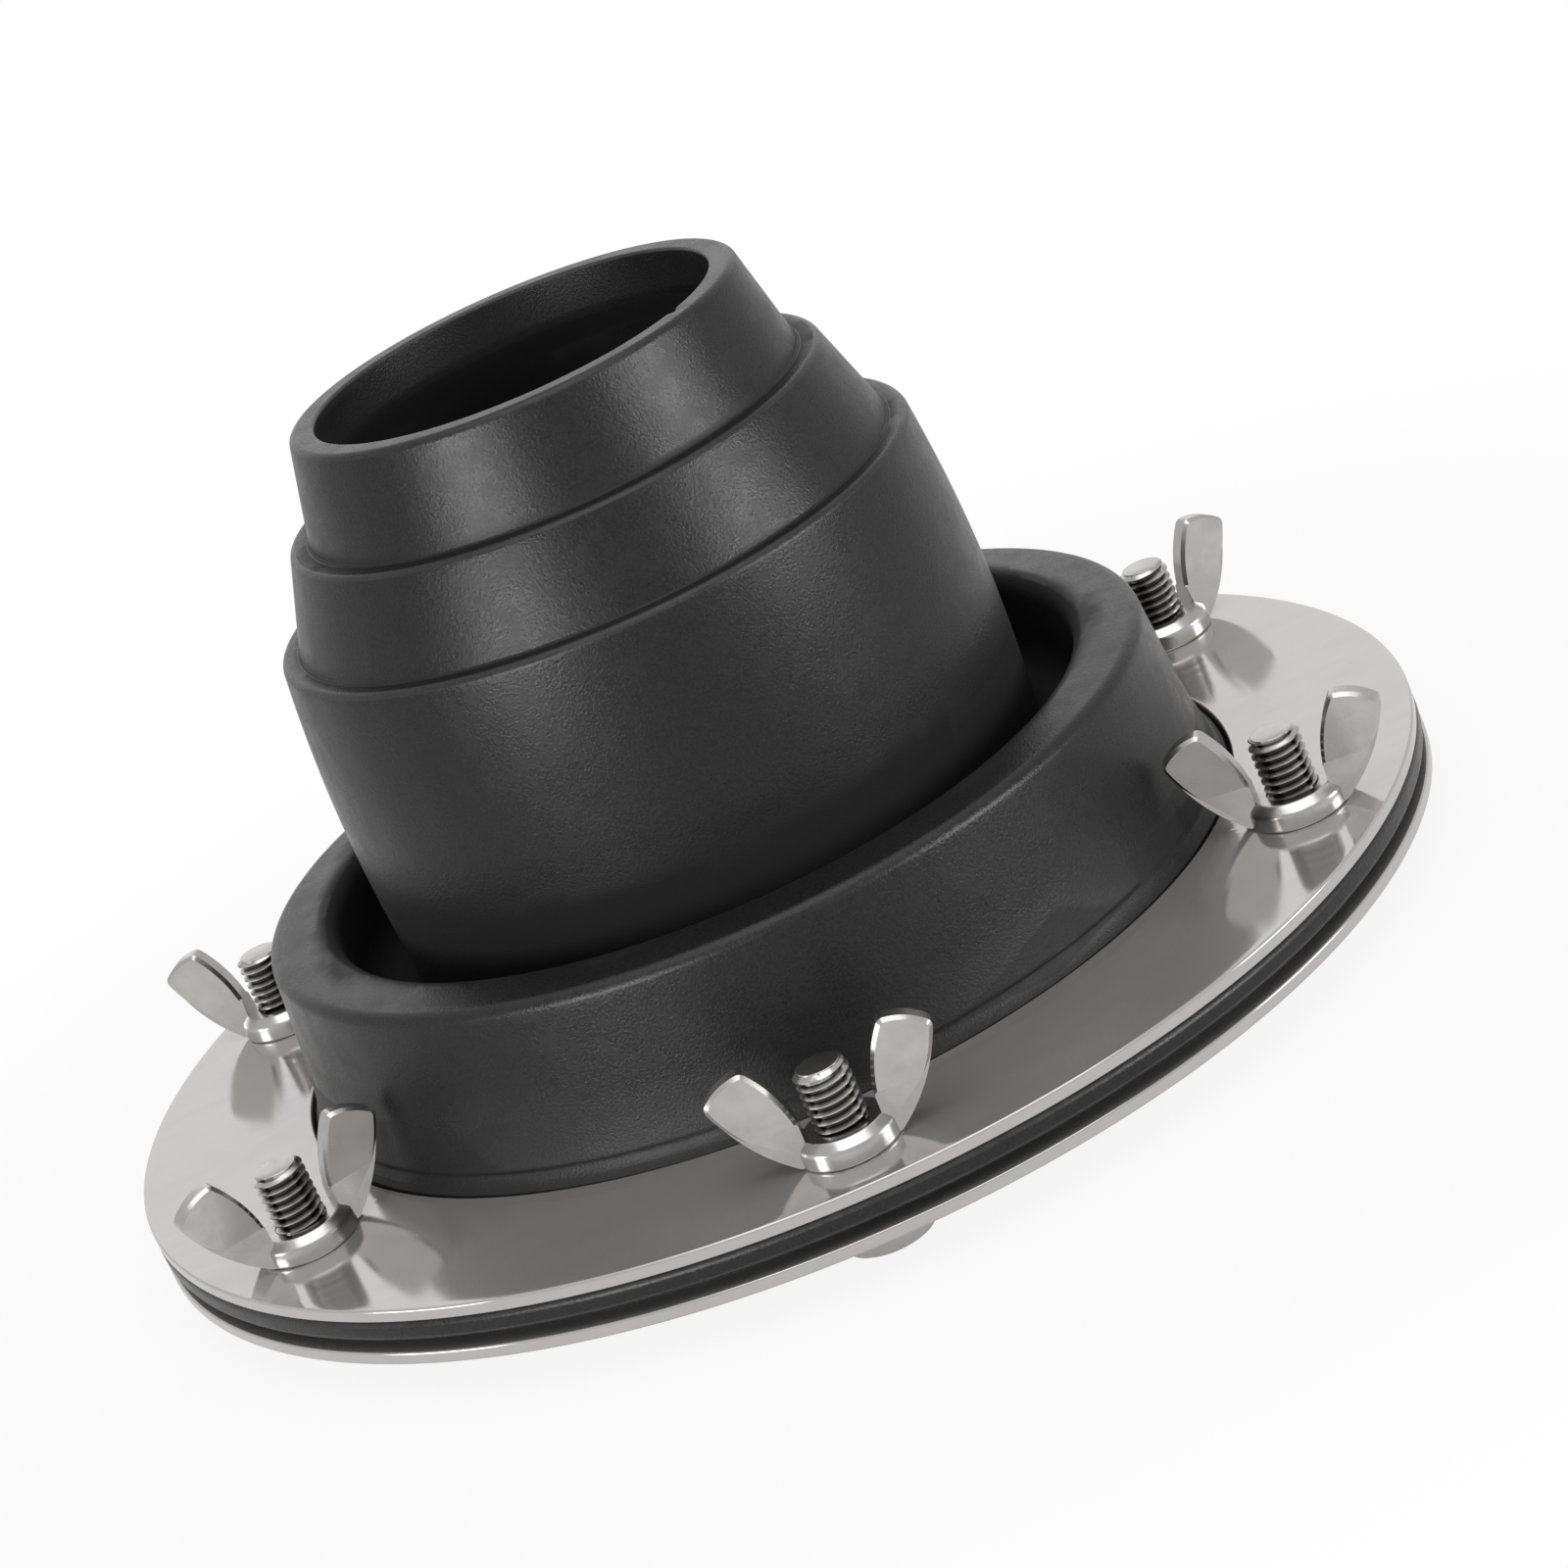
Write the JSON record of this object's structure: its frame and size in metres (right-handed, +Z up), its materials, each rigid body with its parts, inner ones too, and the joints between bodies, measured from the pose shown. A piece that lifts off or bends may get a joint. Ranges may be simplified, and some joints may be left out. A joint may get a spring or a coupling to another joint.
{
  "type": "tent stove jack",
  "caption": "Rubber pipe boot with a stepped cone, a barrel-shaped bell and a rolled collar, bolted between flat steel rings with wing nuts, to pass a stove pipe through tent cloth.",
  "frame": {"origin": "on the boot's axis, on the plane that the bolt heads stand on", "axes": "+Z up the boot's axis towards the rim, -Y towards the front bolt, +X to the right of it"},
  "size_m": [0.1576, 0.1576, 0.0856],
  "materials": {
    "rubber": "matte moulded black rubber",
    "ring_steel": "bright rolled stainless sheet",
    "fastener_steel": "polished stainless"
  },
  "bodies": {
    "jack": {"boot": "rubber", "lower_ring": "ring_steel", "upper_ring": "ring_steel", "bolt_front": "fastener_steel", "bolt_right_front": "fastener_steel", "bolt_right_back": "fastener_steel", "bolt_back": "fastener_steel", "bolt_left_back": "fastener_steel", "bolt_left_front": "fastener_steel"},
    "nut_front": {"wing_nut_front": "fastener_steel"},
    "nut_right_front": {"wing_nut_right_front": "fastener_steel"},
    "nut_right_back": {"wing_nut_right_back": "fastener_steel"},
    "nut_back": {"wing_nut_back": "fastener_steel"},
    "nut_left_back": {"wing_nut_left_back": "fastener_steel"},
    "nut_left_front": {"wing_nut_left_front": "fastener_steel"}
  },
  "joints": [
    {"name": "nut_front_turn", "type": "hinge", "parent": "jack", "child": "nut_front", "pos_m": [0, -0.068, 0.0109], "axis": [0, 0, 1], "continuous": true},
    {"name": "nut_right_front_turn", "type": "hinge", "parent": "jack", "child": "nut_right_front", "pos_m": [0.05889, -0.034, 0.0109], "axis": [0, 0, 1], "continuous": true},
    {"name": "nut_right_back_turn", "type": "hinge", "parent": "jack", "child": "nut_right_back", "pos_m": [0.05889, 0.034, 0.0109], "axis": [0, 0, 1], "continuous": true},
    {"name": "nut_back_turn", "type": "hinge", "parent": "jack", "child": "nut_back", "pos_m": [0, 0.068, 0.0109], "axis": [0, 0, 1], "continuous": true},
    {"name": "nut_left_back_turn", "type": "hinge", "parent": "jack", "child": "nut_left_back", "pos_m": [-0.05889, 0.034, 0.0109], "axis": [0, 0, 1], "continuous": true},
    {"name": "nut_left_front_turn", "type": "hinge", "parent": "jack", "child": "nut_left_front", "pos_m": [-0.05889, -0.034, 0.0109], "axis": [0, 0, 1], "continuous": true}
  ]
}
